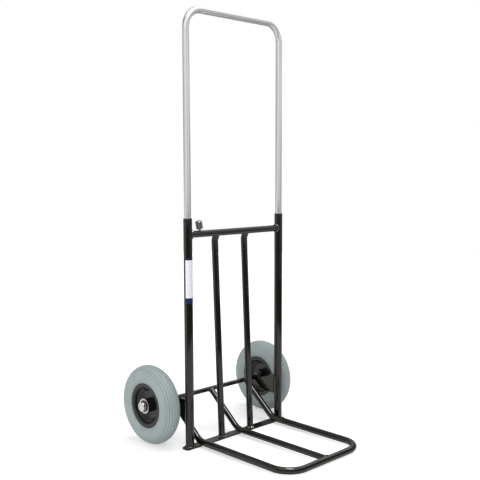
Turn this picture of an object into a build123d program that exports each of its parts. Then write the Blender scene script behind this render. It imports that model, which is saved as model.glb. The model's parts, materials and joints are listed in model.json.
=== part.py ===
from build123d import *
import os
from math import atan2, cos, pi, radians, sin, sqrt, tan

# Folding two-wheel hand truck, in millimetres, with +Z up and the toe frame towards -Y.
# The origin is on the floor, under the middle of the base bar.

# Posts, sized to let the handle slide in them
post_wall = 2.5
post_spacing = 414.0
post_top = 744.0

# Base bar, flat under the posts
base_bar_depth = 32.0
base_bar_thickness = 5.0
base_bar_overhang = 23.0
base_bar_corner = 9.0

# Upper crossbar
crossbar_diameter = 22.0
crossbar_wall = 2.0
crossbar_drop = 51.0

# Inner bars, leaning back to leave room for the folded toe frame
inner_bar_diameter = 22.0
inner_bar_wall = 2.0
inner_bar_spacing = 134.0
inner_bar_lean = 29.5
inner_bar_joggle_drop = 27.0
inner_bar_joggle_radius = 16.0
inner_bar_top_setback = 16.0
inner_bar_top_rise = 3.0

# Telescoping handle, drawn out
handle_diameter = 22.0
handle_wall = 1.5
handle_top = 1396.0
handle_corner_radius = 58.0
handle_insertion = 108.0
handle_stowed_rise = 82.0
leg_plug_head = 6.0
leg_plug_depth = 20.0
leg_plug_chamfer = 1.5

# Lock inside the crossbar, by the left post
lock_rod_diameter = 8.0
lock_travel = 8.0
lock_bend_radius = 8.5
lock_lean = 13.0
lock_tip_chamfer = 1.0
knob_diameter = 22.0
knob_length = 26.0
knob_standoff = 16.5
knob_bore_depth = 18.0
knob_top_round = 4.0
knob_foot_round = 2.0
collar_setback = 4.5
collar_length = 3.0
spring_length = 19.0
spring_wire = 1.6
spring_turns = 5
spring_stop_length = 3.0

# Axle and what is on it
axle_diameter = 12.0
axle_setback = 130.0
spacer_diameter = 18.0
washer_diameter = 27.0
washer_thickness = 2.0
cap_diameter = 32.0
cap_length = 9.0
cap_wall = 2.5
cap_round = 3.0
cap_dish_diameter = 18.0
cap_dish_depth = 0.8

# Axle brackets
bracket_sheet = 3.0
bracket_inset = 7.5
bracket_flange = 14.0
bracket_rise = 30.0
bracket_fall = 33.0
bracket_shoulder = 42.0
bracket_step = 38.0
bracket_step_round = 16.0
bracket_foot = 50.0
bracket_end_radius = 12.0

# Toe frame
toe_tube_diameter = 22.0
toe_tube_wall = 2.0
toe_depth = 405.0
toe_corner_radius = 68.0
toe_heel_setback = 8.0
toe_heel_radius = 60.0
toe_middle_diameter = 20.0
toe_pivot_wall = 2.0
toe_weld_reach = 5.0

# Wheels
wheel_diameter = 260.0
tyre_width = 67.0
tyre_bulge = 9.0
tyre_height = 56.0
bead_rise = 2.0
groove_count = 8
groove_pitch = 9.0
groove_width = 2.2
groove_depth = 1.3
rim_sheet = 2.5
rim_lip_height = 13.0
rim_lip_round = 5.0
rim_seat_width = 10.0
rim_seat_round = 4.0
rim_disc_diameter = 90.0
rim_disc_round = 9.0
hub_diameter = 46.0
hub_wall = 2.0
hub_proud = 2.5
bearing_flange_step = 1.5
bearing_flange = 2.5
bearing_depth = 12.0
inner_ring_wall = 4.0
inner_ring_proud = 1.5
seal_inset = 1.5
seal_depth = 1.2

# Clearances
handle_slide_gap = 0.5
handle_plug_gap = 0.3
rest_gap = 0.3
running_gap = 0.05
loose_gap = 0.1
side_gap = 0.3
lock_tip_gap = 0.6
lock_hole_gap = 0.3
slot_gap = 1.0
collar_gap = 1.0
spring_gap = 2.0
lock_bend_gap = 1.5
toe_arm_gap = 16.75
wheel_post_gap = 7.0

# Places that follow from the sizes
post_x = post_spacing / 2
post_bore = handle_diameter + 2 * handle_slide_gap
post_diameter = post_bore + 2 * post_wall
crossbar_height = post_top - crossbar_drop
crossbar_bore = crossbar_diameter - 2 * crossbar_wall
wheel_radius = wheel_diameter / 2
axle_height = wheel_radius
base_top = base_bar_thickness
post_face = post_x - post_diameter / 2
web_inner = post_x - bracket_inset
web_outer = web_inner + bracket_sheet
wheel_x = post_x + post_diameter / 2 + wheel_post_gap + tyre_width / 2
leg_bottom = post_top - handle_insertion
handle_axis_top = handle_top - handle_diameter / 2
handle_travel = handle_top - post_top - handle_stowed_rise
toe_height = base_top + rest_gap + toe_tube_diameter / 2
toe_arm_x = web_inner - toe_arm_gap - toe_tube_diameter / 2
toe_pivot_bore = axle_diameter + 2 * running_gap
toe_pivot_diameter = toe_pivot_bore + 2 * toe_pivot_wall
toe_slope = atan2(axle_height - toe_height, axle_setback + toe_heel_setback)
rim_width = tyre_width - 2 * tyre_bulge
rim_diameter = wheel_diameter - 2 * tyre_height
rim_drum_diameter = rim_diameter - 2 * rim_lip_height
hub_bore = hub_diameter - 2 * hub_wall
hub_end = rim_width / 2 + hub_proud
ring_end = hub_end + bearing_flange + inner_ring_proud
outer_washer = wheel_x + ring_end + side_gap
inner_washer = wheel_x - ring_end - side_gap - washer_thickness
cap_seat = outer_washer + washer_thickness
cap_end = cap_seat + cap_length
axle_end = cap_end - cap_wall - loose_gap
lock_tip = -post_x + handle_diameter / 2 + lock_tip_gap
stem_lean = (-sin(radians(lock_lean)), 0, cos(radians(lock_lean)))
collar_x = lock_tip + collar_setback
spring_x = collar_x + collar_length
spring_stop_x = spring_x + spring_length
spring_stop_end = spring_stop_x + spring_stop_length
lock_bend_start = spring_stop_end + lock_bend_gap
lock_corner = lock_bend_start + lock_bend_radius * tan(radians(45 + lock_lean / 2))

axle_line = Axis((0, axle_setback, axle_height), (1, 0, 0))
axle_plane = Plane(origin=(0, axle_setback, axle_height), x_dir=(0, 1, 0), z_dir=(1, 0, 0))
crossbar_plane = Plane(origin=(0, 0, crossbar_height), x_dir=(0, 1, 0), z_dir=(1, 0, 0))
wheel_section = Plane(origin=(wheel_x, axle_setback, axle_height), x_dir=(1, 0, 0), z_dir=(0, -1, 0))

os.makedirs("parts", exist_ok=True)


def save(piece, name):
    """Labels a finished piece and writes its STEP file."""
    piece.part.label = name
    export_step(piece.part, f"parts/{name}.step")


def save_pair(piece, name):
    """Writes a piece made on the right, and its mirror image on the left."""
    save(piece, f"{name}_right")
    with BuildPart() as twin:
        mirror(piece.part, about=Plane.YZ)
    save(twin, f"{name}_left")


def sweep_tube(path, diameter, wall):
    """Runs a round tube along a path, in the part being built."""
    with BuildSketch(Plane(origin=path @ 0, z_dir=path % 0)) as section:
        Circle(diameter / 2)
        Circle(diameter / 2 - wall, mode=Mode.SUBTRACT)
    sweep(section.sketch, path=path)


def bar_on(plane, diameter, start, end, bore=0.0, mode=Mode.ADD):
    """A round bar along a plane's normal, from one distance to another, bored through if asked."""
    with BuildSketch(plane.offset(start)) as section:
        Circle(diameter / 2)
        if bore:
            Circle(bore / 2, mode=Mode.SUBTRACT)
    extrude(section.sketch, amount=end - start, mode=mode)


def post_plane(side):
    """The floor under a post, with the post's axis as its normal."""
    return Plane.XY.shift_origin((side * post_x, 0, 0))


# Posts, the left one with a hole for the lock
lock_hole = lock_rod_diameter + 2 * lock_hole_gap
for side_name, side in (("left", -1), ("right", 1)):
    with BuildPart() as post:
        bar_on(post_plane(side), post_diameter, base_top, post_top, bore=post_bore)
        if side_name == "left":
            bar_on(crossbar_plane, lock_hole, -post_x, -post_face + loose_gap, mode=Mode.SUBTRACT)
    save(post, f"post_{side_name}")

# Base bar
with BuildPart() as base_bar:
    with BuildSketch():
        Rectangle(post_spacing + 2 * base_bar_overhang, base_bar_depth)
    extrude(amount=base_bar_thickness)
    fillet(base_bar.edges().filter_by(Axis.Z), base_bar_corner)
save(base_bar, "base_bar")

# Upper crossbar, its ends shaped to the posts and a slot on top for the lock's stem
stem_crossing = lock_bend_start + lock_bend_radius
slot_length = lock_travel + lock_rod_diameter + 2 * slot_gap
with BuildPart() as crossbar:
    bar_on(
        crossbar_plane,
        crossbar_diameter,
        -post_x,
        post_x,
        bore=crossbar_bore,
    )
    for side in (-1, 1):
        bar_on(post_plane(side), post_diameter, base_top, post_top, mode=Mode.SUBTRACT)
    with BuildSketch(Plane.XY.offset(crossbar_height)):
        with Locations((stem_crossing + lock_travel / 2, 0)):
            SlotOverall(slot_length, lock_rod_diameter + 2 * slot_gap)
    extrude(amount=crossbar_diameter, mode=Mode.SUBTRACT)
save(crossbar, "upper_crossbar")

# Inner bars, from the base bar up behind the crossbar, with their top ends closed
inner_x = inner_bar_spacing / 2
with BuildPart() as inner_bar:
    with BuildLine() as inner_path:
        FilletPolyline(
            (inner_x, 0, base_top),
            (inner_x, inner_bar_lean, crossbar_height - inner_bar_joggle_drop),
            (inner_x, inner_bar_top_setback, crossbar_height + inner_bar_top_rise),
            radius=inner_bar_joggle_radius,
        )
    sweep_tube(inner_path.line, inner_bar_diameter, inner_bar_wall)
    inner_end = Plane(origin=inner_path.line @ 1, z_dir=inner_path.line % 1)
    bar_on(inner_end, inner_bar_diameter, -inner_bar_wall, 0)
    bar_on(crossbar_plane, crossbar_diameter, 0, post_x, mode=Mode.SUBTRACT)
    split(bisect_by=Plane.XY.offset(base_top), keep=Keep.TOP)
save_pair(inner_bar, "inner_bar")

# Axle brackets: a plate against the back of each post, with its top edge turned out
bracket_end_top = axle_height + bracket_end_radius
bracket_end_bottom = axle_height - bracket_end_radius
bracket_top = axle_height + bracket_rise
bracket_bottom = axle_height - bracket_fall
bracket_edge = (
    (0, bracket_top),
    (bracket_shoulder, bracket_top),
    (bracket_shoulder + bracket_step, bracket_end_top),
    (axle_setback, bracket_end_top),
)
with BuildPart() as bracket:
    with BuildSketch(Plane.YZ.offset(web_inner)):
        with BuildLine():
            FilletPolyline(*bracket_edge, radius=bracket_step_round)
            ThreePointArc(
                (axle_setback, bracket_end_top),
                (axle_setback + bracket_end_radius, axle_height),
                (axle_setback, bracket_end_bottom),
            )
            Polyline(
                (axle_setback, bracket_end_bottom),
                (bracket_foot, bracket_bottom),
                (0, bracket_bottom),
                (0, bracket_top),
            )
        make_face()
    extrude(amount=bracket_sheet)
    with BuildSketch(Plane.YZ.offset(web_inner)):
        with BuildLine():
            edge = FilletPolyline(*bracket_edge, radius=bracket_step_round)
            offset(edge, amount=bracket_sheet, side=Side.RIGHT)
        make_face()
    extrude(amount=bracket_flange)
    bar_on(post_plane(1), post_diameter, base_top, post_top, mode=Mode.SUBTRACT)
    bar_on(axle_plane, axle_diameter + 2 * loose_gap, 0, wheel_x, mode=Mode.SUBTRACT)
save_pair(bracket, "axle_bracket")

# Axle, its spacers, washers and end caps
with BuildPart() as axle:
    bar_on(axle_plane, axle_diameter, -axle_end, axle_end)
save(axle, "axle")

axle_bore = axle_diameter + 2 * loose_gap
with BuildPart() as spacer:
    bar_on(axle_plane, spacer_diameter, web_outer, inner_washer, bore=axle_bore)
save_pair(spacer, "axle_spacer")

with BuildPart() as washers:
    for washer_x in (inner_washer, outer_washer):
        for side in (-1, 1):
            near, far = sorted((side * washer_x, side * (washer_x + washer_thickness)))
            bar_on(axle_plane, washer_diameter, near, far, bore=axle_bore)
save(washers, "axle_washers")

with BuildPart() as cap:
    bar_on(axle_plane, cap_diameter, cap_seat, cap_end)
    fillet(cap.edges().filter_by(GeomType.CIRCLE).group_by(Axis.X)[-1], cap_round)
    bar_on(axle_plane, cap_dish_diameter, cap_end - cap_dish_depth, cap_end, mode=Mode.SUBTRACT)
    bar_on(axle_plane, axle_bore, cap_seat, cap_end - cap_wall, mode=Mode.SUBTRACT)
save_pair(cap, "axle_cap")

# Handle, with a lock hole in the left leg for the drawn-out and the pushed-in position
with BuildPart() as handle:
    with BuildLine() as handle_path:
        FilletPolyline(
            (-post_x, 0, leg_bottom),
            (-post_x, 0, handle_axis_top),
            (post_x, 0, handle_axis_top),
            (post_x, 0, leg_bottom),
            radius=handle_corner_radius,
        )
    sweep_tube(handle_path.line, handle_diameter, handle_wall)
    for hole_height in (0, handle_travel):
        hole_plane = crossbar_plane.shift_origin((0, 0, crossbar_height + hole_height))
        bar_on(hole_plane, lock_hole, -post_x, -post_x + handle_diameter, mode=Mode.SUBTRACT)
save(handle, "handle_tube")

with BuildPart() as leg_plug:
    bar_on(
        post_plane(1),
        post_bore - 2 * handle_plug_gap,
        leg_bottom - leg_plug_head,
        leg_bottom,
    )
    chamfer(leg_plug.edges().group_by(Axis.Z)[0], leg_plug_chamfer)
    bar_on(
        post_plane(1),
        handle_diameter - 2 * handle_wall - 2 * running_gap,
        leg_bottom,
        leg_bottom + leg_plug_depth,
    )
save_pair(leg_plug, "leg_plug")

# Lock bolt: along the crossbar, then up through the slot
stem_foot = Vector(lock_corner, 0, crossbar_height)
stem_direction = Vector(*stem_lean)
knob_foot = stem_foot + stem_direction * knob_standoff
knob_plane = Plane(origin=knob_foot, x_dir=(0, 1, 0), z_dir=stem_direction)
with BuildPart() as lock_bolt:
    with BuildLine() as lock_path:
        FilletPolyline(
            (lock_tip, 0, crossbar_height),
            stem_foot,
            knob_foot + stem_direction * (knob_bore_depth - loose_gap),
            radius=lock_bend_radius,
        )
    with BuildSketch(Plane(origin=lock_path.line @ 0, z_dir=lock_path.line % 0)):
        Circle(lock_rod_diameter / 2)
    sweep(path=lock_path.line)
    chamfer(lock_bolt.edges().group_by(Axis.X)[0], lock_tip_chamfer)
save(lock_bolt, "lock_bolt")

with BuildPart() as lock_knob:
    bar_on(knob_plane, knob_diameter, 0, knob_length)
    rims = lock_knob.edges().filter_by(GeomType.CIRCLE).sort_by(Axis.Z)
    fillet(rims[-1], knob_top_round)
    fillet(rims[0], knob_foot_round)
    bar_on(knob_plane, lock_rod_diameter + 2 * running_gap, 0, knob_bore_depth, mode=Mode.SUBTRACT)
save(lock_knob, "lock_knob")

with BuildPart() as lock_collar:
    bar_on(
        crossbar_plane,
        crossbar_bore - 2 * collar_gap,
        collar_x,
        collar_x + collar_length,
        bore=lock_rod_diameter + 2 * running_gap,
    )
save(lock_collar, "lock_collar")

with BuildPart() as spring_stop:
    bar_on(
        crossbar_plane,
        crossbar_bore - 2 * running_gap,
        spring_stop_x,
        spring_stop_end,
        bore=lock_rod_diameter + 2 * lock_hole_gap,
    )
save(spring_stop, "lock_spring_stop")

# Lock spring: a helix of tangent arcs, two for each quarter turn
coil_radius = (crossbar_bore - spring_wire) / 2 - spring_gap
coil_run = spring_length - spring_wire - 2 * side_gap
coil_start = spring_x + spring_wire / 2 + side_gap


def coil_point(turn):
    """A point of the spring's centre line, and its direction, after so many turns."""
    angle = 2 * pi * turn
    place = Vector(
        coil_start + coil_run * turn / spring_turns,
        coil_radius * cos(angle),
        crossbar_height + coil_radius * sin(angle),
    )
    heading = Vector(
        coil_run / spring_turns,
        -2 * pi * coil_radius * sin(angle),
        2 * pi * coil_radius * cos(angle),
    )
    return place, heading.normalized()


with BuildPart() as lock_spring:
    with BuildLine() as spring_path:
        for quarter in range(4 * spring_turns):
            here, leaving = coil_point(quarter / 4)
            there, arriving = coil_point((quarter + 1) / 4)
            chord = there - here
            spread = 1 - leaving.dot(arriving)
            along = chord.dot(leaving + arriving)
            reach = (sqrt(along**2 + 2 * spread * chord.dot(chord)) - along) / (2 * spread)
            first = here + leaving * reach
            second = there - arriving * reach
            middle = (first + second) * 0.5
            TangentArc(here, middle, tangent=leaving)
            TangentArc(middle, there, tangent=(second - first).normalized())
    with BuildSketch(Plane(origin=spring_path.line @ 0, z_dir=spring_path.line % 0)):
        Circle(spring_wire / 2)
    sweep(path=spring_path.line)
save(lock_spring, "lock_spring")

# The spring's least gap from one turn to the next, measured on points of its centre line
steps_per_turn = 24
coil_steps = steps_per_turn * spring_turns
coil_line = [coil_point(step / steps_per_turn)[0] for step in range(coil_steps + 1)]
turn_gaps = [
    (here - there).length - spring_wire
    for step, here in enumerate(coil_line)
    for there in coil_line[step + steps_per_turn // 2 :]
]
print("least gap between the spring's turns:", round(min(turn_gaps), 2), "mm")

# Toe frame: a hoop and a middle tube, both bent up at the heel to the pivot tube
weld_back = axle_setback - toe_weld_reach * cos(toe_slope)
weld_height = axle_height - toe_weld_reach * sin(toe_slope)
with BuildPart() as toe_hoop:
    with BuildLine() as hoop_path:
        FilletPolyline(
            (-toe_arm_x, weld_back, weld_height),
            (-toe_arm_x, -toe_heel_setback, toe_height),
            (-toe_arm_x, -toe_depth, toe_height),
            (toe_arm_x, -toe_depth, toe_height),
            (toe_arm_x, -toe_heel_setback, toe_height),
            (toe_arm_x, weld_back, weld_height),
            radius=(toe_heel_radius, toe_corner_radius, toe_corner_radius, toe_heel_radius),
        )
    sweep_tube(hoop_path.line, toe_tube_diameter, toe_tube_wall)
    bar_on(axle_plane, toe_pivot_diameter, -web_inner, web_inner, mode=Mode.SUBTRACT)
save(toe_hoop, "toe_hoop")

with BuildPart() as toe_middle:
    with BuildLine() as middle_path:
        FilletPolyline(
            (0, weld_back, weld_height),
            (0, -toe_heel_setback, toe_height),
            (0, -toe_depth, toe_height),
            radius=toe_heel_radius,
        )
    sweep_tube(middle_path.line, toe_middle_diameter, toe_tube_wall)
    bar_on(axle_plane, toe_pivot_diameter, -web_inner, web_inner, mode=Mode.SUBTRACT)
    front_plane = Plane(origin=(0, -toe_depth, toe_height), x_dir=(0, 1, 0), z_dir=(1, 0, 0))
    bar_on(front_plane, toe_tube_diameter, -toe_arm_x, toe_arm_x, mode=Mode.SUBTRACT)
save(toe_middle, "toe_middle_tube")

with BuildPart() as toe_pivot:
    bar_on(
        axle_plane,
        toe_pivot_diameter,
        -web_inner + side_gap,
        web_inner - side_gap,
        bore=toe_pivot_bore,
    )
save(toe_pivot, "toe_pivot_tube")

# Tyre: a round section with grooves round the tread, its beads sitting in the rim
section_radius = tyre_width / 2
section_centre = wheel_radius - section_radius
lip_face = rim_width / 2
rim_radius = rim_diameter / 2
drum_radius = rim_drum_diameter / 2
bead_radius = rim_radius + bead_rise
bead_x = sqrt(section_radius**2 - (section_centre - bead_radius) ** 2)
bead_seat = lip_face - rim_sheet - loose_gap
bead_floor = drum_radius + loose_gap
with BuildPart() as tyre:
    with BuildSketch(wheel_section):
        with BuildLine():
            ThreePointArc((-bead_x, bead_radius), (0, wheel_radius), (bead_x, bead_radius))
            for side in (-1, 1):
                Polyline(
                    (side * bead_x, bead_radius),
                    (side * lip_face, rim_radius + loose_gap),
                    (side * bead_seat, rim_radius + loose_gap),
                    (side * bead_seat, bead_floor + rim_lip_round),
                    (side * (bead_seat - rim_lip_round), bead_floor),
                    (0, bead_floor),
                )
        make_face()
        for groove in range(groove_count):
            lean = (groove - (groove_count - 1) / 2) * groove_pitch / section_radius
            outward = Vector(sin(lean), cos(lean))
            across = Vector(cos(lean), -sin(lean)) * groove_width
            foot = Vector(0, section_centre) + outward * (section_radius - groove_depth)
            mouth = foot + outward * 2 * groove_depth
            with BuildLine():
                Polyline(foot, mouth + across, mouth - across, close=True)
            make_face(mode=Mode.SUBTRACT)
    revolve(axis=axle_line)
save_pair(tyre, "tyre")

# Rim: two pressed halves, back to back at the wheel's middle plane
for half_name, half in (("outer", 1), ("inner", -1)):
    with BuildPart() as rim:
        with BuildSketch(wheel_section):
            with BuildLine():
                FilletPolyline(
                    (half * rim_sheet / 2, hub_diameter / 2 + loose_gap),
                    (half * rim_sheet / 2, rim_disc_diameter / 2),
                    (half * (lip_face - rim_seat_width), drum_radius - rim_sheet / 2),
                    (half * (lip_face - rim_sheet / 2), drum_radius - rim_sheet / 2),
                    (half * (lip_face - rim_sheet / 2), rim_radius),
                    radius=(rim_disc_round, rim_seat_round, rim_lip_round),
                )
            trace(line_width=rim_sheet)
        revolve(axis=axle_line)
    save_pair(rim, f"rim_{half_name}")

# Hub tube with a flanged bearing in each end
with BuildPart() as hub:
    bar_on(axle_plane, hub_diameter, wheel_x - hub_end, wheel_x + hub_end, bore=hub_bore)
save_pair(hub, "hub_tube")

for half_name, half in (("outer", 1), ("inner", -1)):
    flange_face = hub_end + bearing_flange
    bore_radius = axle_diameter / 2 + running_gap
    ring_radius = axle_diameter / 2 + inner_ring_wall
    seal_radius = hub_bore / 2 - seal_inset
    flange_radius = hub_diameter / 2 + bearing_flange_step
    with BuildPart() as bearing:
        with BuildSketch(wheel_section):
            with BuildLine():
                Polyline(
                    (half * (hub_end - bearing_depth), bore_radius),
                    (half * ring_end, bore_radius),
                    (half * ring_end, ring_radius),
                    (half * (flange_face - seal_depth), ring_radius),
                    (half * (flange_face - seal_depth), seal_radius),
                    (half * flange_face, seal_radius),
                    (half * flange_face, flange_radius),
                    (half * hub_end, flange_radius),
                    (half * hub_end, hub_bore / 2 - running_gap),
                    (half * (hub_end - bearing_depth), hub_bore / 2 - running_gap),
                    close=True,
                )
            make_face()
        revolve(axis=axle_line)
    save_pair(bearing, f"bearing_{half_name}")
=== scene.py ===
"""Looks of the folding hand truck: finishes, welds, label, stage and camera. Metres, +Z up."""
import json
import math

import bmesh
import bpy
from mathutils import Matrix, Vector


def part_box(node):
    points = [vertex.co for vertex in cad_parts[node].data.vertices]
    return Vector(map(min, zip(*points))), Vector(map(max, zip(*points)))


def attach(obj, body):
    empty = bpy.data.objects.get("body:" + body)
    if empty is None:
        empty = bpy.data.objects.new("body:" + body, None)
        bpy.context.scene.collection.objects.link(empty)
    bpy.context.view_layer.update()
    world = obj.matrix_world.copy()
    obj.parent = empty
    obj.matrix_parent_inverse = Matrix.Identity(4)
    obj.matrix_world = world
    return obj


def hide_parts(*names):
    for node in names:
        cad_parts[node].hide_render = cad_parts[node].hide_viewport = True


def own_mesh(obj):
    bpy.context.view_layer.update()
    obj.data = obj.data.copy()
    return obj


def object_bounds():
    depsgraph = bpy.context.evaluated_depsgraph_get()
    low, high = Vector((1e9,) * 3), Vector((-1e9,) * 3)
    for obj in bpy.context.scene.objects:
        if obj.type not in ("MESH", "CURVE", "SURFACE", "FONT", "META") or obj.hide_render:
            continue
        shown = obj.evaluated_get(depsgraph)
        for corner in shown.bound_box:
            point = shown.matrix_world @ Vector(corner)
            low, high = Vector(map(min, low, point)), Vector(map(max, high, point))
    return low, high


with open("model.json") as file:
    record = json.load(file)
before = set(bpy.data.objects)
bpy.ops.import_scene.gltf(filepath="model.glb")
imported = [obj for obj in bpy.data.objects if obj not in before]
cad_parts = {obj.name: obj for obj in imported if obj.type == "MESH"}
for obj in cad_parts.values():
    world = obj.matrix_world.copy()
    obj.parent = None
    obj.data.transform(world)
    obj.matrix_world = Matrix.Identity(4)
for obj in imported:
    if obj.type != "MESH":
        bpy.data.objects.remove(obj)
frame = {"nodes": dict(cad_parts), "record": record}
cad_low, cad_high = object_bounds()
nodes = frame["nodes"]

# Camera, fitted to the photograph
IMAGE_SIZE = 480
CAMERA_PLACE = (-1.770, -1.8586, 0.8917)
CAMERA_YAW = -0.7888
CAMERA_PITCH = -0.1158
FOCAL_PIXELS = 773.8
PRINCIPAL_X = 257.1
PRINCIPAL_Y = 260.9
SENSOR_WIDTH = 36.0

# Lamps and world
WORLD_FILL = 0.45
FILL_TOWARDS = (-0.93, -0.36, 0.06)
FILL_STRENGTH = 2.1
FILL_ANGLE = math.radians(90)
KEY_TOWARDS = (0.26, -0.06, 0.96)
KEY_STRENGTH = 1.3
KEY_ANGLE = math.radians(48)
STRIP_PLACE = (-0.2, -0.7, 2.3)
STRIP_TARGET = (-0.2, -0.7, 0.0)
STRIP_SIZE = (0.5, 1.0)
STRIP_POWER = 35.0

# Floor: lifted to white where the camera sees it, and more so in front, where the shadow fades
FLOOR_RADIUS = 6.0
FLOOR_SEGMENTS = 96
FLOOR_TINT = (0.82, 0.82, 0.82, 1.0)
FLOOR_LIFT = 0.44
FLOOR_LIFT_FRONT = 0.74
FLOOR_FADE_START = -0.12
FLOOR_FADE_END = -0.40
FLOOR_MIRRORED = 0.22

# The floor behind the object, as shiny surfaces mirror it: across the camera's view, near to far
FLOOR_BACK_NEAR = 0.50
FLOOR_BACK_FAR = 3.4
FLOOR_BACK_REACH = 3.2
FLOOR_BACK_HEIGHT = 0.002
FLOOR_BACK_LEVEL = 0.42

# Ceiling of the studio, which shiny surfaces mirror
CEILING_HEIGHT = 3.0
CEILING_FRONT = -2.6
CEILING_BACK = 0.9
CEILING_LEFT = -1.5
CEILING_RIGHT = 2.6
CEILING_LEVEL = 1.45

# How far over and under a flat card its level holds
CARD_MARGIN = 0.5

# Walls of the studio, which shiny surfaces mirror: first and last azimuth in degrees, distance of
# the foot and of the wall, and pairs of height and level
COVE_HEIGHT = 0.30
WALL_COLUMNS = 32
DARK_FOOT = ((0.0, 0.9), (0.06, 0.75), (0.12, 0.4), (0.2, 0.2), (0.4, 0.12), (0.57, 0.13))
WALLS = (
    ("back_right", -25, 50, 2.6, 2.6,
     ((0.0, 0.42), (1.1, 0.45), (1.3, 0.8), (1.75, 0.9), (1.95, 1.6), (3.6, 1.6))),
    ("back_left", 50, 100, 3.0, 3.0,
     ((0.0, 0.42), (12.0, 0.42))),
    ("left_far", 100, 150, 3.0, 3.0,
     ((0.0, 1.0), (0.65, 1.0), (0.9, 0.62), (1.7, 0.62), (1.9, 0.9), (2.6, 0.50), (12.0, 0.46))),
    ("left_near", 150, 184, 3.0, 3.0,
     ((0.0, 1.0), (0.7, 1.0), (0.9, 0.88), (1.9, 0.92), (2.5, 0.58), (12.0, 0.54))),
    ("front_left", 184, 228, 1.5, 2.6,
     DARK_FOOT + ((0.62, 1.1), (1.75, 1.12), (1.95, 1.55), (3.4, 1.55))),
    ("front", 228, 262, 1.5, 2.6,
     DARK_FOOT + ((0.62, 0.70), (1.2, 0.76), (1.5, 0.9), (2.4, 0.6))),
    ("front_right", 262, 290, 1.5, 2.6,
     ((0.0, 0.9), (0.06, 0.75), (0.12, 0.5), (0.4, 0.38), (0.57, 0.40), (0.62, 0.92), (1.5, 1.1),
      (2.4, 0.8))),
    ("right", 290, 335, 1.5, 2.6,
     ((0.0, 0.8), (0.06, 0.6), (0.12, 0.45), (0.4, 0.40), (0.6, 0.6), (1.1, 0.74), (1.45, 0.95),
      (1.75, 0.66), (2.6, 0.45))),
)

# A low dark awning in front of the object, which only shiny surfaces under it mirror
AWNING_FIRST = 190
AWNING_LAST = 350
AWNING_NEAR = 0.85
AWNING_NEAR_HEIGHT = 0.40
AWNING_FAR = 1.35
AWNING_FAR_HEIGHT = 0.06
AWNING_LEVEL = 0.13

# A pale shelf before the front walls' dark foot, which only shiny surfaces over it mirror
SHELF_FIRST = 212
SHELF_LAST = 268
SHELF_NEAR = 1.2
SHELF_NEAR_HEIGHT = 0.66
SHELF_FAR = 2.6
SHELF_FAR_HEIGHT = 0.60
SHELF_LEVEL = 0.80

# Black paint: its tints where it is clean and where it is dusty, and the bare metal of a worn weld
PAINT_CLEAN = (0.0044, 0.0046, 0.0014)
PAINT_DUSTY = (0.0070, 0.0073, 0.0030)
BARE_METAL = (0.66, 0.65, 0.63)
BARE_START = 0.56
BARE_FULL = 0.60

# Handle: how far under its top the draw lines turn from the legs into the grip
GRIP_BEND_HIGH = 0.024
GRIP_BEND_LOW = 0.034

# Tread grooves: their pitch round the tyre's section, the lean at which they fade and end, how far
# from a groove's middle its painted shade is full and ends, in pitches, and the shade's strength
# and tint
GROOVE_PITCH = 0.009
GROOVE_FADE = 1.05
GROOVE_END = 1.45
GROOVE_SHADE_FULL = 0.02
GROOVE_SHADE_END = 0.16
GROOVE_SHADE = 0.55
GROOVE_SHADE_TINT = (0.50, 0.50, 0.52, 1.0)

# Bearings and washers: the seal's ring between the steel ones, and where the side darkened as
# painted shade, inside the wheels, ends
BEARING_RADIUS = 0.0245
SEAL_INNER = 0.0102
SEAL_OUTER = 0.0194
SHADE_EDGE = 0.001

# Welds: the least sine keeps the ledge's length finite beside a tube
BEAD_RADIUS = 0.0030
BEAD_RIPPLE = 0.08
BEAD_PITCH = 0.0034
BEAD_SIDES = 10
BEAD_STEPS = 160
BEAD_SINK = 0.3
BEAD_END_TAPER = 0.35
CHORD_STEPS = 12
LEAST_SINE = 0.01
SIDES = (("left", -1), ("right", 1))

# Inner bars' top ends, bracket plates and toe arms, as the welds need them
INNER_TOP_RUN = -0.0135
INNER_TOP_RISE = 0.030
INNER_TOP_SETBACK = 0.016
INNER_END_RISE = 0.003
BRACKET_SHEET = 0.003
BRACKET_WELD_FOOT = 0.004
BRACKET_WELD_HEAD = 0.006
TOE_SLOPE_RUN = 0.138
TOE_SLOPE_RISE = 0.1137
ARM_END_GAP = 0.005

# Lock spring
SPRING_TURNS = 5
SPRING_STEPS = 200
SPRING_WIRE = 0.0016
SPRING_COIL = 0.0062
WIRE_SIDES = 10

# Label on the left post
LABEL_LOW = 0.476
LABEL_HIGH = 0.622
LABEL_MIDDLE = math.radians(271)
LABEL_HALF_WRAP = math.radians(78)
LABEL_LIFT = 0.00012
LABEL_THICKNESS = 0.00018
LABEL_TOP_BAND = 0.009
LABEL_FOOT_BAND = 0.017
LABEL_COLUMNS = 40
LABEL_ROWS = 12
LABEL_SHARP_ANGLE = math.radians(40)
LABEL_NAVY = (0.003, 0.006, 0.032)
LABEL_BLUE = (0.005, 0.020, 0.095)
LABEL_WHITE = (0.90, 0.92, 0.97)

BLACK = (0.0, 0.0, 0.0)
WHITE = (1.0, 1.0, 1.0)


def middle_of(node):
    """A node's centre and half size at rest."""
    low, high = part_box(node)
    return (low + high) / 2, (high - low) / 2


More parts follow.
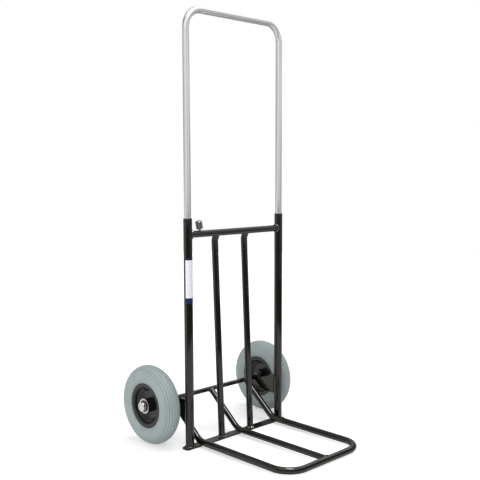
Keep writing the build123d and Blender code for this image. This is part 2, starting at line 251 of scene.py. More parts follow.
# Sizes read from the frame
pivot_middle, pivot_half = middle_of("toe_pivot_tube")
pivot_radius = pivot_half.y
tyre_middle, tyre_half = middle_of("tyre_right")
tyre_x = tyre_middle.x
tyre_half_width = tyre_half.x
tyre_radius = tyre_half.z
grip_high = cad_high.z - GRIP_BEND_HIGH
grip_low = cad_high.z - GRIP_BEND_LOW
post_middle, post_half = middle_of("post_right")
post_radius = post_half.x
bar_low, bar_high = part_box("base_bar")
crossbar_middle, crossbar_half = middle_of("upper_crossbar")
crossbar_radius = crossbar_half.z
inner_low, inner_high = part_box("inner_bar_right")
inner_radius = (inner_high.x - inner_low.x) / 2
inner_x = (inner_high.x + inner_low.x) / 2
hoop_low, hoop_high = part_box("toe_hoop")
toe_radius = crossbar_radius
middle_low, middle_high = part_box("toe_middle_tube")
middle_radius = (middle_high.x - middle_low.x) / 2
bracket_low, bracket_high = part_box("axle_bracket_right")
stop_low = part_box("lock_spring_stop")[0]
collar_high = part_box("lock_collar")[1]


def new_mesh(name, shape):
    """A mesh from a finished shape, which is freed."""
    mesh = bpy.data.meshes.new(name)
    shape.to_mesh(mesh)
    shape.free()
    return mesh


def new_object(name, data):
    """An object in the scene."""
    made = bpy.data.objects.new(name, data)
    bpy.context.scene.collection.objects.link(made)
    return made


def add_node(tree, kind, **settings):
    """A shader node with its inputs set by name; other settings are its own attributes."""
    made = tree.nodes.new(kind)
    for key, value in settings.items():
        socket_name = key.replace("_", " ").title()
        if socket_name in made.inputs:
            made.inputs[socket_name].default_value = value
        else:
            setattr(made, key, value)
    return made


def new_material(name, metal=False):
    """A material with a principled shader, and its tree."""
    material = bpy.data.materials.new(name)
    material.use_nodes = True
    tree = material.node_tree
    shader = tree.nodes["Principled BSDF"]
    if metal:
        shader.inputs["Metallic"].default_value = 1.0
    return material, tree, shader


def own_place(tree):
    """The object's own coordinates."""
    return tree.nodes.new("ShaderNodeTexCoord").outputs["Object"]


def place_of(tree, stretch=(1.0, 1.0, 1.0)):
    """The object's own coordinates, stretched."""
    mapping = add_node(tree, "ShaderNodeMapping", scale=stretch)
    tree.links.new(own_place(tree), mapping.inputs["Vector"])
    return mapping.outputs["Vector"]


def axes_of(tree, place):
    """A place's X, Y and Z by name."""
    parts = tree.nodes.new("ShaderNodeSeparateXYZ")
    tree.links.new(place, parts.inputs["Vector"])
    return parts.outputs


def noise(tree, place, scale, detail=4.0, rough=0.55):
    """A noise texture's value at a place."""
    made = add_node(tree, "ShaderNodeTexNoise", scale=scale, detail=detail, roughness=rough)
    tree.links.new(place, made.inputs["Vector"])
    return made.outputs["Fac"]


def ramp(tree, value, stops, interpolation="LINEAR"):
    """A colour ramp over a value; stops are pairs of position and colour."""
    made = tree.nodes.new("ShaderNodeValToRGB")
    made.color_ramp.interpolation = interpolation
    elements = made.color_ramp.elements
    while len(elements) < len(stops):
        elements.new(0.5)
    for element, (position, colour) in zip(elements, stops):
        element.position = position
        element.color = (*colour, 1.0)
    tree.links.new(value, made.inputs["Fac"])
    return made.outputs["Color"]


def spread(tree, value, low, high, from_low=0.3, from_high=0.7):
    """A value spread over a new range."""
    made = tree.nodes.new("ShaderNodeMapRange")
    made.inputs["From Min"].default_value = from_low
    made.inputs["From Max"].default_value = from_high
    made.inputs["To Min"].default_value = low
    made.inputs["To Max"].default_value = high
    tree.links.new(value, made.inputs["Value"])
    return made.outputs["Result"]


def bump(tree, shader, height, distance, strength=1.0):
    """Raises the surface by a height value."""
    made = add_node(tree, "ShaderNodeBump", strength=strength, distance=distance)
    tree.links.new(height, made.inputs["Height"])
    tree.links.new(made.outputs["Normal"], shader.inputs["Normal"])


def math_node(tree, operation, *values):
    """One arithmetic step; numbers are set on the node and sockets are linked."""
    made = tree.nodes.new("ShaderNodeMath")
    made.operation = operation
    for socket, value in zip(made.inputs, values):
        if isinstance(value, (int, float)):
            socket.default_value = value
        else:
            tree.links.new(value, socket)
    return made.outputs["Value"]


def mix_tints(tree, factor, first, second, blend="MIX"):
    """Two colours mixed; those that are values are linked and the others are set on the node."""
    made = tree.nodes.new("ShaderNodeMix")
    made.data_type = "RGBA"
    made.blend_type = blend
    for name, value in (("Factor", factor), ("A", first), ("B", second)):
        if isinstance(value, (float, tuple)):
            made.inputs[name].default_value = value
        else:
            tree.links.new(value, made.inputs[name])
    return made.outputs["Result"]


def coat(tree, shader, tint, gloss):
    """Links a finish's colour and roughness."""
    tree.links.new(tint, shader.inputs["Base Color"])
    tree.links.new(gloss, shader.inputs["Roughness"])


def black_paint():
    """Semi-gloss black powder coat, with a fine orange peel and faint dust."""
    material, tree, shader = new_material("black_paint")
    place = place_of(tree)
    tint = ramp(tree, noise(tree, place, 38.0, 6.0), [(0.30, PAINT_CLEAN), (0.75, PAINT_DUSTY)])
    coat(tree, shader, tint, spread(tree, noise(tree, place, 120.0, 5.0), 0.06, 0.12))
    bump(tree, shader, noise(tree, place, 260.0, 2.0), 0.00004, 0.10)
    return material


def black_rim():
    """Black pressed sheet of the rims, a little duller than the frame, with faint press marks."""
    material, tree, shader = new_material("black_rim")
    place = place_of(tree)
    dark, dusty = (0.0070, 0.0070, 0.0068), (0.0150, 0.0146, 0.0142)
    tint = ramp(tree, noise(tree, place, 26.0, 6.0), [(0.3, dark), (0.7, dusty)])
    coat(tree, shader, tint, spread(tree, noise(tree, place, 90.0, 5.0), 0.20, 0.30))
    bump(tree, shader, noise(tree, place, 220.0, 3.0), 0.00008, 0.15)
    shader.inputs["Specular IOR Level"].default_value = 0.38
    return material


def weld_paint():
    """The same black coat on a weld, thin and worn to bare metal in flecks."""
    material, tree, shader = new_material("weld_paint")
    place = place_of(tree)
    flecks = noise(tree, place, 192.0, 2.0)
    stops = [(0.0, PAINT_CLEAN), (BARE_START, PAINT_DUSTY), (BARE_FULL, BARE_METAL)]
    tint = ramp(tree, flecks, stops)
    coat(tree, shader, tint, spread(tree, noise(tree, place, 120.0, 5.0), 0.10, 0.20))
    bare = spread(tree, flecks, 0.0, 1.0, BARE_START, BARE_FULL)
    tree.links.new(bare, shader.inputs["Metallic"])
    return material


def bright_tube():
    """Drawn zinc-coated tube: smooth, with faint draw lines along it and a few dull patches."""
    material, tree, shader = new_material("bright_tube", metal=True)
    height = axes_of(tree, place_of(tree))["Z"]
    on_legs = noise(tree, place_of(tree, (260.0, 260.0, 3.0)), 1.0, 3.0)
    on_grip = noise(tree, place_of(tree, (3.0, 260.0, 260.0)), 1.0, 3.0)
    mixed = tree.nodes.new("ShaderNodeMix")
    tree.links.new(spread(tree, height, 0.0, 1.0, grip_low, grip_high), mixed.inputs["Factor"])
    tree.links.new(on_legs, mixed.inputs["A"])
    tree.links.new(on_grip, mixed.inputs["B"])
    lines = mixed.outputs["Result"]
    patches = noise(tree, place_of(tree, (30.0, 30.0, 9.0)), 1.0, 5.0)
    tint = ramp(tree, lines, [(0.25, (0.605, 0.611, 0.609)), (0.75, (0.645, 0.651, 0.647))])
    coat(tree, shader, tint, spread(tree, patches, 0.16, 0.22))
    bump(tree, shader, lines, 0.00002, 0.1)
    return material


def plated_steel():
    """Bright zinc plate with a faint cloud in its gloss."""
    material, tree, shader = new_material("plated_steel", metal=True)
    place = place_of(tree)
    cloud = noise(tree, place, 140.0, 5.0)
    tint = ramp(tree, cloud, [(0.3, (0.56, 0.555, 0.54)), (0.7, (0.68, 0.675, 0.66))])
    coat(tree, shader, tint, spread(tree, cloud, 0.12, 0.26))
    bump(tree, shader, noise(tree, place, 900.0, 2.0), 0.00003, 0.2)
    return material


def washer_plate():
    """Zinc plate of the washers, plain outside the wheels and darkened inside them as painted
    shade.
    """
    material, tree, shader = new_material("washer_plate", metal=True)
    place = place_of(tree)
    aside = math_node(tree, "ABSOLUTE", axes_of(tree, place)["X"])
    outside = spread(tree, aside, 0.0, 1.0, tyre_x - SHADE_EDGE, tyre_x + SHADE_EDGE)
    cloud = noise(tree, place, 140.0, 5.0)
    # Painted shade: the plate inside the wheels is much darker than outside
    shaded_tint = ramp(tree, cloud, [(0.3, (0.07, 0.064, 0.054)), (0.7, (0.14, 0.13, 0.11))])
    clean = ramp(tree, cloud, [(0.3, (0.54, 0.535, 0.52)), (0.7, (0.66, 0.655, 0.64))])
    tint = mix_tints(tree, outside, shaded_tint, clean)
    coat(tree, shader, tint, spread(tree, cloud, 0.20, 0.34))
    return material


def bearing_steel(name, bright):
    """A sealed bearing: plated outer and inner rings, with a black rubber seal between them."""
    material, tree, shader = new_material(name)
    place = place_of(tree)
    axes = axes_of(tree, place)
    flat = tree.nodes.new("ShaderNodeCombineXYZ")
    tree.links.new(axes["Y"], flat.inputs["Y"])
    tree.links.new(axes["Z"], flat.inputs["Z"])
    from_axle = tree.nodes.new("ShaderNodeVectorMath")
    from_axle.operation = "DISTANCE"
    tree.links.new(flat.outputs["Vector"], from_axle.inputs[0])
    from_axle.inputs[1].default_value = (0.0, pivot_middle.y, pivot_middle.z)
    radius = spread(tree, from_axle.outputs["Value"], 0.0, 1.0, 0.0, BEARING_RADIUS)
    seal_start = SEAL_INNER / BEARING_RADIUS
    seal_end = SEAL_OUTER / BEARING_RADIUS
    rings = [(0.0, WHITE), (seal_start, BLACK), (seal_end, WHITE)]
    is_steel = ramp(tree, radius, rings, "CONSTANT")
    cloud = noise(tree, place, 160.0, 5.0)
    steel = ramp(tree, cloud, [(0.3, bright[0]), (0.7, bright[1])])
    rubber = ramp(tree, cloud, [(0.3, (0.012, 0.011, 0.010)), (0.7, (0.026, 0.023, 0.020))])
    tint = mix_tints(tree, is_steel, rubber, steel)
    coat(tree, shader, tint, spread(tree, is_steel, 0.48, 0.24, 0.0, 1.0))
    tree.links.new(is_steel, shader.inputs["Metallic"])
    return material


def chrome():
    """Dark mirror chrome of the lock's knob, with a faint haze."""
    material, tree, shader = new_material("chrome", metal=True)
    cloud = noise(tree, place_of(tree), 220.0, 4.0)
    tint = ramp(tree, cloud, [(0.3, (0.20, 0.195, 0.185)), (0.7, (0.27, 0.262, 0.25))])
    coat(tree, shader, tint, spread(tree, cloud, 0.06, 0.12))
    return material


def spring_steel():
    """Drawn spring wire."""
    material, tree, shader = new_material("spring_steel", metal=True)
    cloud = noise(tree, place_of(tree), 300.0, 4.0)
    tint = ramp(tree, cloud, [(0.3, (0.36, 0.36, 0.37)), (0.7, (0.52, 0.52, 0.53))])
    coat(tree, shader, tint, spread(tree, cloud, 0.25, 0.4))
    return material


def black_plastic():
    """Moulded black plastic of the plugs."""
    material, tree, shader = new_material("black_plastic")
    place = place_of(tree)
    cloud = noise(tree, place, 200.0, 4.0)
    tint = ramp(tree, cloud, [(0.3, (0.010, 0.010, 0.010)), (0.7, (0.020, 0.020, 0.020))])
    coat(tree, shader, tint, spread(tree, cloud, 0.45, 0.6))
    bump(tree, shader, noise(tree, place, 1500.0, 2.0), 0.00005, 0.3)
    return material


def grey_tyre():
    """Blue-grey foamed tyre: matt and faintly mottled, with painted shade in the grooves of its
    tread.
    """
    material, tree, shader = new_material("grey_tyre")
    place = place_of(tree)
    axes = axes_of(tree, place)
    aside = math_node(tree, "SUBTRACT", math_node(tree, "ABSOLUTE", axes["X"]), tyre_x)
    across = math_node(tree, "SUBTRACT", axes["Y"], pivot_middle.y)
    above = math_node(tree, "SUBTRACT", axes["Z"], pivot_middle.z)
    across_squared = math_node(tree, "POWER", across, 2.0)
    above_squared = math_node(tree, "POWER", above, 2.0)
    from_axle = math_node(tree, "SQRT", math_node(tree, "ADD", across_squared, above_squared))
    outward = math_node(tree, "SUBTRACT", from_axle, tyre_radius - tyre_half_width)
    lean = math_node(tree, "ARCTAN2", aside, outward)
    pitches = math_node(tree, "MULTIPLY", lean, tyre_half_width / GROOVE_PITCH)
    from_groove = math_node(tree, "SUBTRACT", math_node(tree, "FRACT", pitches), 0.5)
    off_groove = math_node(tree, "ABSOLUTE", from_groove)
    # Painted shade: the tread's grooves are darkened towards their middles
    in_groove = spread(tree, off_groove, 1.0, 0.0, GROOVE_SHADE_FULL, GROOVE_SHADE_END)
    on_tread = spread(tree, math_node(tree, "ABSOLUTE", lean), 1.0, 0.0, GROOVE_FADE, GROOVE_END)
    shade_mask = math_node(tree, "MULTIPLY", in_groove, on_tread)
    groove_shade = math_node(tree, "MULTIPLY", shade_mask, GROOVE_SHADE)
    cloud = noise(tree, place, 30.0, 7.0, 0.6)
    tint = ramp(tree, cloud, [(0.28, (0.305, 0.368, 0.366)), (0.72, (0.360, 0.424, 0.420))])
    shaded_tint = mix_tints(tree, groove_shade, tint, GROOVE_SHADE_TINT, "MULTIPLY")
    coat(tree, shader, shaded_tint, spread(tree, noise(tree, place, 160.0, 5.0), 0.50, 0.68))
    bump(tree, shader, noise(tree, place, 1100.0, 3.0), 0.00010, 0.35)
    return material


def label_vinyl():
    """Plain vinyl: a white field between two blue bands."""
    material, tree, shader = new_material("label_vinyl")
    span = LABEL_HIGH - LABEL_LOW
    height = spread(tree, axes_of(tree, own_place(tree))["Z"], 0.0, 1.0, LABEL_LOW, LABEL_HIGH)
    stops = [
        (0.0, LABEL_BLUE),
        (LABEL_FOOT_BAND / span, LABEL_WHITE),
        (1.0 - LABEL_TOP_BAND / span, LABEL_NAVY),
    ]
    bands = ramp(tree, height, stops, "CONSTANT")
    cloud = noise(tree, place_of(tree), 180.0, 4.0)
    grain = ramp(tree, cloud, [(0.3, (0.90, 0.90, 0.90)), (0.7, WHITE)])
    worn = mix_tints(tree, 1.0, bands, grain, "MULTIPLY")
    coat(tree, shader, worn, spread(tree, noise(tree, place_of(tree), 260.0, 4.0), 0.28, 0.42))
    shader.inputs["Specular IOR Level"].default_value = 0.3
    return material


FINISHES = {
    "black_paint": black_paint(),
    "black_rim": black_rim(),
    "bright_tube": bright_tube(),
    "plated_steel": plated_steel(),
    "spring_steel": spring_steel(),
    "black_plastic": black_plastic(),
    "grey_tyre": grey_tyre(),
}
KNOB_FINISH = chrome()
WELD_FINISH = weld_paint()

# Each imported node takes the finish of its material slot
for subpart in frame["record"]["subparts"]:
    slots = nodes[subpart["node"]].data.materials
    slots.clear()
    slots.append(FINISHES[subpart["material_slot"]])

nodes["lock_knob"].data.materials[0] = KNOB_FINISH

# The bearings show a seal between their rings, and those on the inner side are darkened as painted
# shade
outer_finish = bearing_steel("bearing_clean", ((0.46, 0.45, 0.43), (0.60, 0.59, 0.57)))
# Painted shade: the inner bearings' steel rings are nearly black
inner_finish = bearing_steel("bearing_shaded", ((0.030, 0.027, 0.022), (0.075, 0.068, 0.056)))
for name, node in nodes.items():
    if name.startswith("bearing_outer"):
        node.data.materials[0] = outer_finish
    if name.startswith("bearing_inner"):
        node.data.materials[0] = inner_finish
nodes["axle_washers"].data.materials[0] = washer_plate()


def new_piece(name, shape, body, material):
    """A new smooth piece from a finished shape, riding on a body."""
    bmesh.ops.recalc_face_normals(shape, faces=shape.faces[:])
    mesh = new_mesh(name, shape)
    for face in mesh.polygons:
        face.use_smooth = True
    piece = new_object(name, mesh)
    mesh.materials.append(material)
    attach(piece, body)
    return piece


def around(count):
    """Angles of an even walk round a circle."""
    return [2 * math.pi * step / count for step in range(count)]


def between(first, last):
    """Points on the straight way from one point to another, without the two themselves."""
    return [first.lerp(last, step / CHORD_STEPS) for step in range(1, CHORD_STEPS)]


def weld_bead(name, points, body, closed=True, radii=None, finish=WELD_FINISH):
    """A rippled bead of weld along points, with a whole number of ripples."""
    shape = bmesh.new()
    count = len(points)
    spans = count if closed else count - 1
    lengths = [(points[(index + 1) % count] - points[index]).length for index in range(spans)]
    ripples = round(sum(lengths) / BEAD_PITCH) / sum(lengths)
    rings = []
    travelled = 0.0
    for index, point in enumerate(points):
        before = points[index - 1] if closed or index > 0 else point
        after = points[(index + 1) % count] if closed or index < count - 1 else point
        heading = (after - before).normalized()
        if index == 0:
            side = heading.orthogonal().normalized()
        else:
            side = side - heading * side.dot(heading)
            travelled += lengths[index - 1]
        side.normalize()
        rise = heading.cross(side)
        swell = 1.0 + BEAD_RIPPLE * math.sin(2 * math.pi * travelled * ripples)
        taper = BEAD_END_TAPER if not closed and index in (0, count - 1) else 1.0
        reach = (radii[index] if radii else BEAD_RADIUS) * swell * taper
        rings.append([
            shape.verts.new(point + (side * math.cos(turn) + rise * math.sin(turn)) * reach)
            for turn in around(BEAD_SIDES)
        ])
    for index in range(spans):
        here = rings[index]
        there = rings[(index + 1) % count]
        shift = 0
        if closed and index == count - 1:
            # The last ring has turned on the way, so it joins the first one's nearest corners
            shift = min(range(BEAD_SIDES), key=lambda s: (here[0].co - there[s].co).length)
        for step in range(BEAD_SIDES):
            follow = (step + 1) % BEAD_SIDES
            shape.faces.new((
                here[step],
                here[follow],
                there[(follow + shift) % BEAD_SIDES],
                there[(step + shift) % BEAD_SIDES],
            ))
    if not closed:
        shape.faces.new(rings[0][::-1])
        shape.faces.new(rings[-1])
    new_piece(name, shape, body, finish)


bead_sink = BEAD_SINK * BEAD_RADIUS

# Welds round the feet of the posts and of the inner bars, smaller where the bar's ledge is narrow
feet = (("post", post_middle.x, post_radius), ("inner_bar", inner_x, inner_radius))
for side_name, side in SIDES:
    for label, x, radius in feet:
        ring = []
        radii = []
        for turn in around(BEAD_STEPS):
            edge = bar_high.y if math.sin(turn) > 0 else -bar_low.y
            ledge = edge / max(abs(math.sin(turn)), LEAST_SINE) - radius
            size = min(BEAD_RADIUS, ledge / (1 + BEAD_SINK + BEAD_RIPPLE))
            reach = radius + BEAD_SINK * size
            ring.append(Vector((
                side * x + reach * math.cos(turn),
                reach * math.sin(turn),
                bar_high.z + BEAD_SINK * size,
            )))
            radii.append(size)
        weld_bead(f"weld_{label}_foot_{side_name}", ring, "frame", radii=radii)

# Welds where the crossbar meets the posts
for side_name, side in SIDES:
    ring = []
    for turn in around(BEAD_STEPS):
        y = (crossbar_radius + bead_sink) * math.cos(turn)
        z = crossbar_middle.z + (crossbar_radius + bead_sink) * math.sin(turn)
        x = post_middle.x - math.sqrt((post_radius + bead_sink) ** 2 - y**2)
        ring.append(Vector((side * x, y, z)))
    weld_bead(f"weld_crossbar_{side_name}", ring, "frame")

# Welds where the inner bars stand against the back of the crossbar
top_lean = Vector((0.0, INNER_TOP_RUN, INNER_TOP_RISE)).normalized()
top_front = Vector((0.0, -top_lean.z, top_lean.y))
top_end = Vector((0.0, INNER_TOP_SETBACK, INNER_END_RISE))
half_steps = BEAD_STEPS // 2
for side_name, side in SIDES:
    lower = []
    for step in range(half_steps + 1):
        turn = math.pi * step / half_steps
        start = top_end + top_front * (inner_radius * math.sin(turn))
        along = -start.dot(top_lean)
        reach = crossbar_radius**2 - (start + top_lean * along).length_squared
        if reach < 0 or along - math.sqrt(reach) > 0:
            continue
        spot = start + top_lean * (along - math.sqrt(reach))
        spot.x = side * inner_x + inner_radius * math.cos(turn)
        spot.z += crossbar_middle.z
        lower.append(spot)
    weld_bead(f"weld_inner_bar_top_{side_name}", lower + between(lower[-1], lower[0]), "frame")

# Welds down the back of the posts, along both faces of the bracket plates, which the paint covers
plate_faces = (("inner", bracket_low.x, -1), ("outer", bracket_low.x + BRACKET_SHEET, 1))
low = bracket_low.z + BRACKET_WELD_FOOT
high = bracket_high.z - BRACKET_WELD_HEAD
for side_name, side in SIDES:
    for face_name, x, away in plate_faces:
        y = math.sqrt(post_radius**2 - (x - post_middle.x) ** 2) + bead_sink
        line = [
            Vector((side * (x + away * bead_sink), y, low + (high - low) * step / BEAD_STEPS))
            for step in range(BEAD_STEPS + 1)
        ]
        name = f"weld_bracket_{face_name}_{side_name}"
        weld_bead(name, line, "frame", closed=False, finish=FINISHES["black_paint"])

# Welds where the toe frame's three arms meet the pivot tube
arm_slope = Vector((0.0, TOE_SLOPE_RUN, TOE_SLOPE_RISE)).normalized()
arm_over = Vector((0.0, -arm_slope.z, arm_slope.y))
edge_turn = math.acos(-ARM_END_GAP / pivot_radius)
arm_steps = BEAD_STEPS // 4
arms = (
    ("left", hoop_low.x + toe_radius, toe_radius),
    ("right", hoop_high.x - toe_radius, toe_radius),
    ("middle", (middle_low.x + middle_high.x) / 2, middle_radius),
)
for label, x, radius in arms:
    edges = []
    for hand in (1, -1):
        line = []
        for step in range(arm_steps + 1):
            turn = edge_turn + (2 * math.pi - 2 * edge_turn) * step / arm_steps
            over = pivot_radius * math.sin(turn)
            spot = pivot_middle + arm_slope * (pivot_radius * math.cos(turn)) + arm_over * over
            spot.x = x + hand * math.sqrt(radius**2 - over**2)
            line.append(spot)
        edges.append(line)
    one, other = edges
    loop = one + between(one[-1], other[-1]) + other[::-1] + between(other[0], one[0])
    weld_bead(f"weld_toe_pivot_{label}", loop, "toe_frame")

# Weld where the middle arm runs into the front tube
front_y = hoop_low.y + toe_radius
front_z = hoop_low.z + toe_radius
ring = []
for turn in around(BEAD_STEPS):
    over = middle_radius * math.sin(turn)
    back = math.sqrt(toe_radius**2 - over**2)
    ring.append(Vector((middle_radius * math.cos(turn), front_y + back, front_z + over)))
weld_bead("weld_toe_middle_front", ring, "toe_frame")

# Lock spring: wire coiled between the collar and the stop
spring_room = stop_low.x - collar_high.x
wire_points = []
for step in range(SPRING_STEPS + 1):
    share = step / SPRING_STEPS
    turn = 2 * math.pi * SPRING_TURNS * share
    wire_points.append(Vector((
        collar_high.x + SPRING_WIRE + (spring_room - 2 * SPRING_WIRE) * share,
        SPRING_COIL * math.cos(turn),
        crossbar_middle.z + SPRING_COIL * math.sin(turn),
    )))
wire_shape = bmesh.new()
wire_rings = []
for index, point in enumerate(wire_points):
    before = wire_points[max(index - 1, 0)]
    after = wire_points[min(index + 1, SPRING_STEPS)]
    heading = (after - before).normalized()
    outward = Vector((0.0, point.y, point.z - crossbar_middle.z)).normalized()
    rise = heading.cross(outward).normalized()
    wire_rings.append([
        wire_shape.verts.new(
            point + (outward * math.cos(turn) + rise * math.sin(turn)) * SPRING_WIRE / 2
        )
        for turn in around(WIRE_SIDES)
    ])
for here, there in zip(wire_rings, wire_rings[1:]):
    for step in range(WIRE_SIDES):
        follow = (step + 1) % WIRE_SIDES
        wire_shape.faces.new((here[step], here[follow], there[follow], there[step]))
wire_shape.faces.new(wire_rings[0][::-1])
wire_shape.faces.new(wire_rings[-1])
wire_piece = new_piece("spring_wire", wire_shape, "frame", FINISHES["spring_steel"])
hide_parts("lock_spring")
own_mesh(wire_piece)


def add_strip(shape, low_line, high_line):
    """Faces between two lines of corners of the same length."""
    for column in range(len(low_line) - 1):
        shape.faces.new(
            (low_line[column], low_line[column + 1], high_line[column + 1], high_line[column])
        )


# Label on the left post: a thin patch wrapped round its front
label_shape = bmesh.new()
label_layers = []
for lift in (LABEL_LIFT, LABEL_LIFT + LABEL_THICKNESS):
    reach = post_radius + lift
    layer = []
    for row in range(LABEL_ROWS + 1):
        z = LABEL_LOW + (LABEL_HIGH - LABEL_LOW) * row / LABEL_ROWS
        line = []
        for column in range(LABEL_COLUMNS + 1):
            turn = LABEL_MIDDLE + LABEL_HALF_WRAP * (2 * column / LABEL_COLUMNS - 1)
            x = -post_middle.x + reach * math.cos(turn)
            line.append(label_shape.verts.new((x, reach * math.sin(turn), z)))
        layer.append(line)
    label_layers.append(layer)
label_rims = []
for layer in label_layers:
    for low_line, high_line in zip(layer, layer[1:]):
        add_strip(label_shape, low_line, high_line)
    left_edge = [line[0] for line in layer]
    right_edge = [line[-1] for line in layer]
    label_rims.append(layer[0] + right_edge[1:] + layer[-1][-2::-1] + left_edge[-2::-1])
add_strip(label_shape, *label_rims)
label_piece = new_piece("post_label", label_shape, "frame", label_vinyl())
label_piece.data.set_sharp_from_angle(angle=LABEL_SHARP_ANGLE)


def stage_material(name):
    """An empty material for the stage, its tree and the surface that the tree ends in."""
    material = bpy.data.materials.new(name)
    material.use_nodes = True
    tree = material.node_tree
    tree.nodes.clear()
    return material, tree, tree.nodes.new("ShaderNodeOutputMaterial").inputs["Surface"]


def light_path(tree, camera_level, mirrored_level):
    """A level for what the camera sees, one for mirrors and glass, and none for other rays."""
    path = tree.nodes.new("ShaderNodeLightPath").outputs
    shown = math_node(tree, "MAXIMUM", path["Is Glossy Ray"], path["Is Transmission Ray"])
    mirrored = math_node(tree, "MULTIPLY", shown, mirrored_level)
    return math_node(tree, "MULTIPLY_ADD", path["Is Camera Ray"], camera_level, mirrored)


def floor_material():
    """Pale matt floor, lifted to white where it is seen, so that it keeps only the shadow."""
    material, tree, surface = stage_material("stage_floor")
    matt = add_node(tree, "ShaderNodeBsdfDiffuse", color=FLOOR_TINT)
    glow = add_node(tree, "ShaderNodeEmission", color=(*WHITE, 1.0))
    depth = axes_of(tree, own_place(tree))["Y"]
    lift = spread(tree, depth, FLOOR_LIFT_FRONT, FLOOR_LIFT, FLOOR_FADE_END, FLOOR_FADE_START)
    tree.links.new(light_path(tree, lift, FLOOR_MIRRORED), glow.inputs["Strength"])
    both = tree.nodes.new("ShaderNodeAddShader")
    tree.links.new(matt.outputs["BSDF"], both.inputs[0])
    tree.links.new(glow.outputs["Emission"], both.inputs[1])
    tree.links.new(both.outputs["Shader"], surface)
    return material


floor_shape = bmesh.new()
bmesh.ops.create_circle(floor_shape, cap_ends=True, segments=FLOOR_SEGMENTS, radius=FLOOR_RADIUS)
floor = new_object("stage_floor", new_mesh("stage_floor", floor_shape))
floor.location = (0, 0, cad_low.z)
floor.data.materials.append(floor_material())


def mirrored_only(name, shape, levels, one_side=False):
    """A stage surface that only shiny things show, on one side or both; the level is by height."""
    material, tree, surface = stage_material(name)
    low, high = levels[0][0], levels[-1][0]
    height = spread(tree, axes_of(tree, own_place(tree))["Z"], 0.0, 1.0, low, high)
    stops = [((z - low) / (high - low), (level, level, level)) for z, level in levels]
    glow = add_node(tree, "ShaderNodeEmission", strength=1.0)
    tree.links.new(ramp(tree, height, stops), glow.inputs["Color"])
    shown = glow.outputs["Emission"]
    if one_side:
        from_behind = tree.nodes.new("ShaderNodeNewGeometry").outputs["Backfacing"]
        clear = tree.nodes.new("ShaderNodeBsdfTransparent")
        either = tree.nodes.new("ShaderNodeMixShader")
        tree.links.new(from_behind, either.inputs["Fac"])
        tree.links.new(shown, either.inputs[1])
        tree.links.new(clear.outputs["BSDF"], either.inputs[2])
        shown = either.outputs["Shader"]
    tree.links.new(shown, surface)
    card = new_object(name, new_mesh(name, shape))
    card.data.materials.append(material)
    card.visible_camera = False
    card.visible_diffuse = False
    card.visible_shadow = False


def wall_shape(first, last, outline):
    """A curved wall between two azimuths, from its outline's distances and heights."""
    shape = bmesh.new()
    lines = []
    for reach, height in outline:
        line = []
        for column in range(WALL_COLUMNS + 1):
            turn = math.radians(first + (last - first) * column / WALL_COLUMNS)
            line.append(shape.verts.new((reach * math.cos(turn), reach * math.sin(turn), height)))
        lines.append(line)
    for low_line, high_line in zip(lines, lines[1:]):
        add_strip(shape, low_line, high_line)
    return shape


def sloping_card(name, first, last, outline, level, upward):
    """A card that only shiny things on one side of it show: those over it, or those under it."""
    shape = wall_shape(first, last, outline)
    for face in shape.faces:
        face.normal_update()
        if (face.normal.z > 0) != upward:
            face.normal_flip()
    heights = sorted(height for reach, height in outline)
    mirrored_only(name, shape, ((heights[0], level), (heights[-1], level)), one_side=True)


def flat_card(name, corners, level):
    """A card on four corners at one height: the near pair and then the far one, left to right."""
    shape = bmesh.new()
    near_left, near_right, far_left, far_right = (shape.verts.new(corner) for corner in corners)
    shape.faces.new((near_left, near_right, far_right, far_left))
    height = corners[0][2]
    mirrored_only(name, shape, ((height - CARD_MARGIN, level), (height + CARD_MARGIN, level)))


for wall_name, first, last, foot, distance, levels in WALLS:
    outline = ((foot, 0.0), (distance, COVE_HEIGHT), (distance, levels[-1][0]))
    mirrored_only(f"stage_wall_{wall_name}", wall_shape(first, last, outline), levels)

awning_outline = ((AWNING_FAR, AWNING_FAR_HEIGHT), (AWNING_NEAR, AWNING_NEAR_HEIGHT))
sloping_card("stage_awning", AWNING_FIRST, AWNING_LAST, awning_outline, AWNING_LEVEL, False)
shelf_outline = ((SHELF_NEAR, SHELF_NEAR_HEIGHT), (SHELF_FAR, SHELF_FAR_HEIGHT))
sloping_card("stage_shelf", SHELF_FIRST, SHELF_LAST, shelf_outline, SHELF_LEVEL, True)

ceiling_corners = [
    (x, y, CEILING_HEIGHT)
    for y in (CEILING_FRONT, CEILING_BACK)
    for x in (CEILING_LEFT, CEILING_RIGHT)
]
flat_card("stage_ceiling", ceiling_corners, CEILING_LEVEL)

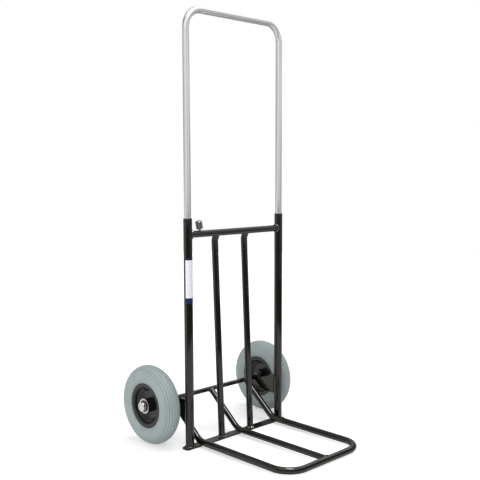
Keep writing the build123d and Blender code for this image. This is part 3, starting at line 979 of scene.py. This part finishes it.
away = Vector((-math.sin(CAMERA_YAW), math.cos(CAMERA_YAW), 0.0))
across = Vector((away.y, -away.x, 0.0))
lift = Vector((0.0, 0.0, FLOOR_BACK_HEIGHT))
back_corners = [
    away * depth + across * reach + lift
    for depth in (FLOOR_BACK_NEAR, FLOOR_BACK_FAR)
    for reach in (-FLOOR_BACK_REACH, FLOOR_BACK_REACH)
]
flat_card("stage_floor_back", back_corners, FLOOR_BACK_LEVEL)

# White surroundings, dimmer as a light than as a background
world = bpy.data.worlds.new("studio")
bpy.context.scene.world = world
world.use_nodes = True
world_tree = world.node_tree
background = world_tree.nodes["Background"]
background.inputs["Color"].default_value = (*WHITE, 1.0)
world_level = spread(world_tree, light_path(world_tree, 1.0, 1.0), WORLD_FILL, 1.0, 0.0, 1.0)
world_tree.links.new(world_level, background.inputs["Strength"])


def sun_lamp(name, towards, strength, angle):
    """Even light from a broad patch of sky, which shiny surfaces don't show."""
    lamp = bpy.data.lights.new(name, "SUN")
    lamp.energy = strength
    lamp.angle = angle
    holder = new_object(name, lamp)
    holder.rotation_euler = Vector(towards).to_track_quat("Z", "Y").to_euler()
    holder.visible_glossy = False


sun_lamp("fill_light", FILL_TOWARDS, FILL_STRENGTH, FILL_ANGLE)
sun_lamp("key_light", KEY_TOWARDS, KEY_STRENGTH, KEY_ANGLE)

# A strip light over the front, which only shiny surfaces show
strip = bpy.data.lights.new("strip_light", "AREA")
strip.shape = "RECTANGLE"
strip.size, strip.size_y = STRIP_SIZE
strip.energy = STRIP_POWER
strip_holder = new_object("strip_light", strip)
strip_holder.location = STRIP_PLACE
strip_aim = Vector(STRIP_TARGET) - Vector(STRIP_PLACE)
strip_holder.rotation_euler = strip_aim.to_track_quat("-Z", "Y").to_euler()
strip_holder.visible_diffuse = False

camera_data = bpy.data.cameras.new("camera")
camera_data.sensor_width = SENSOR_WIDTH
camera_data.lens = FOCAL_PIXELS * SENSOR_WIDTH / IMAGE_SIZE
camera_data.shift_x = -(PRINCIPAL_X / IMAGE_SIZE - 0.5)
camera_data.shift_y = PRINCIPAL_Y / IMAGE_SIZE - 0.5
camera = new_object("camera", camera_data)
camera.location = CAMERA_PLACE
camera.rotation_euler = (math.pi / 2 + CAMERA_PITCH, 0.0, CAMERA_YAW)
bpy.context.scene.camera = camera
bpy.context.scene.view_settings.view_transform = "Standard"
